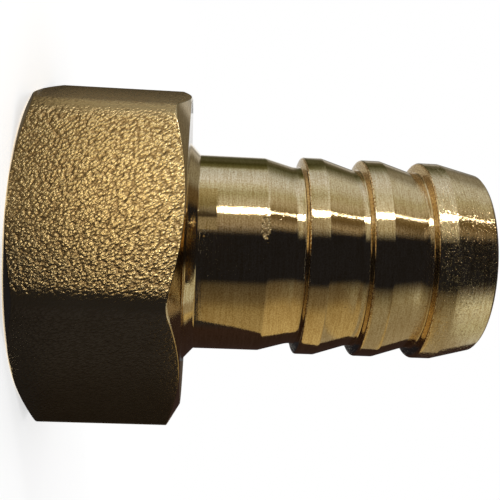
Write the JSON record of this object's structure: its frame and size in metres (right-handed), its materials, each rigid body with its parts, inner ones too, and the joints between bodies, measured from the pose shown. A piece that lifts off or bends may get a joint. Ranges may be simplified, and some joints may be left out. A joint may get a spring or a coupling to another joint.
{
  "type": "hose nipple",
  "caption": "One-piece brass hose nipple: a forged hexagon with a female pipe thread runs into a turned hose tail with barbs and a straight flow bore.",
  "frame": {"origin": "centre of the flat mouth face of the hexagon, where the fitting stands", "axes": "+Z along the fitting's axis, from the threaded mouth towards the end of the hose tail; two of the hexagon's flats are square to X and two of its corners point along Y"},
  "size_m": [0.031, 0.035, 0.0441],
  "materials": {
    "brass": "shot-blasted forging skin on the flats of the hexagon, fine turned marks on every machined face"
  },
  "bodies": {
    "root": {"hose_nipple": "brass"}
  },
  "joints": []
}
